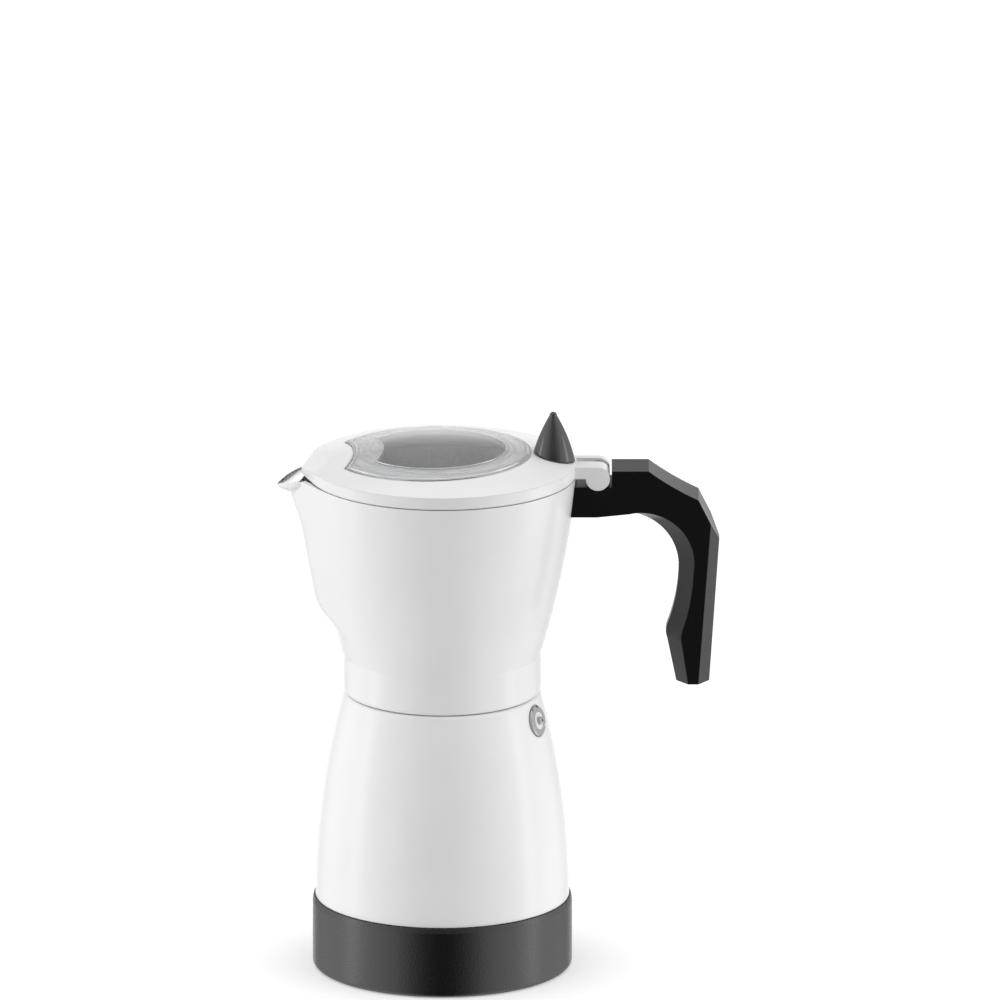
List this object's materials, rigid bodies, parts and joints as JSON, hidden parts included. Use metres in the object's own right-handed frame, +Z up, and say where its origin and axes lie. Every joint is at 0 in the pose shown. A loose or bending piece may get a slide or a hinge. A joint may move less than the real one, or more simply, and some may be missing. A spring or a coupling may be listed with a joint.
{
  "type": "electric moka pot",
  "caption": "Electric stovetop-style coffee maker that comes apart: heated boiler with safety valve, coffee funnel, filter plate and a lidded jug with spout and handle.",
  "frame": {"origin": "centre of the flat underside of the base", "axes": "+Z up along the pot's axis, +X towards the handle, -X towards the spout, +Y to the back"},
  "size_m": [0.1737, 0.1058, 0.2253],
  "materials": {
    "white_paint": "satin white enamel, bare cast aluminium inside",
    "white_plastic": "gloss",
    "base_plastic": "fine grain, matte",
    "cover_plastic": "matte",
    "handle_plastic": "matte",
    "knob_plastic": "satin",
    "smoky_window": "clear, lightly smoked",
    "satin_aluminium": "blasted satin",
    "cast_aluminium": "cast",
    "bright_steel": "polished",
    "steel": "zinc plated",
    "pale_nylon": "matte",
    "seal_rubber": "matte silicone",
    "black_rubber": "matte",
    "contact_brass": "bright",
    "lead_insulation": "silicone sleeve",
    "socket_plastic": "matte"
  },
  "bodies": {
    "boiler": {"boiler_vessel": "white_paint", "base_housing": "base_plastic", "base_cover": "cover_plastic", "base_seal": "black_rubber", "base_screws": "steel", "heater_plate": "cast_aluminium", "heating_element": "steel", "thermostat": "steel", "thermal_fuse": "steel", "fuse_clip": "steel", "coupler_socket": "socket_plastic", "coupler_contacts": "contact_brass", "socket_screws": "steel", "lead_wires": "lead_insulation", "valve_body": "bright_steel", "valve_bush": "pale_nylon", "valve_spring": "steel"},
    "valve": {"valve_pin": "bright_steel"},
    "funnel": {"funnel_cup": "satin_aluminium", "funnel_tube": "satin_aluminium", "funnel_sieve": "satin_aluminium"},
    "filter": {"filter_plate": "satin_aluminium"},
    "gasket": {"gasket": "seal_rubber"},
    "jug": {"jug_shell": "white_paint", "riser_column": "cast_aluminium", "handle": "handle_plastic", "handle_screw": "steel", "hinge_pin": "steel"},
    "lid": {"lid_shell": "white_plastic", "lid_window": "smoky_window", "window_ring": "white_plastic", "knob": "knob_plastic", "knob_washer": "steel", "knob_screw": "steel"}
  },
  "joints": [
    {"name": "jug_lift", "type": "slide", "parent": "boiler", "child": "gasket", "axis": [0, 0, 1], "range_m": [0, 0.167]},
    {"name": "jug_turn", "type": "hinge", "parent": "gasket", "child": "jug", "pos_m": [0, 0, 0.12], "axis": [0, 0, -1], "range_deg": [-540, 0]},
    {"name": "lid_hinge", "type": "hinge", "parent": "jug", "child": "lid", "pos_m": [0.0611, 0, 0.2002], "axis": [0, -1, 0], "range_deg": [-100, 0]},
    {"name": "funnel_lift", "type": "slide", "parent": "boiler", "child": "funnel", "axis": [0, 0, 1], "range_m": [0, 0.092]},
    {"name": "filter_lift", "type": "slide", "parent": "boiler", "child": "filter", "axis": [0, 0, 1], "range_m": [0, 0.1223]},
    {"name": "valve_relief", "type": "slide", "parent": "boiler", "child": "valve", "axis": [0.8927, -0.3845, 0.2351], "range_m": [0, 0.0015], "stiffness_N_per_m": 400, "springref_m": -0.002, "deforming": ["valve_spring"]}
  ],
  "couplings": [
    {"joint": "funnel_lift", "follows": "jug_lift", "ratio": 0.5508},
    {"joint": "filter_lift", "follows": "jug_lift", "ratio": 0.7323}
  ]
}
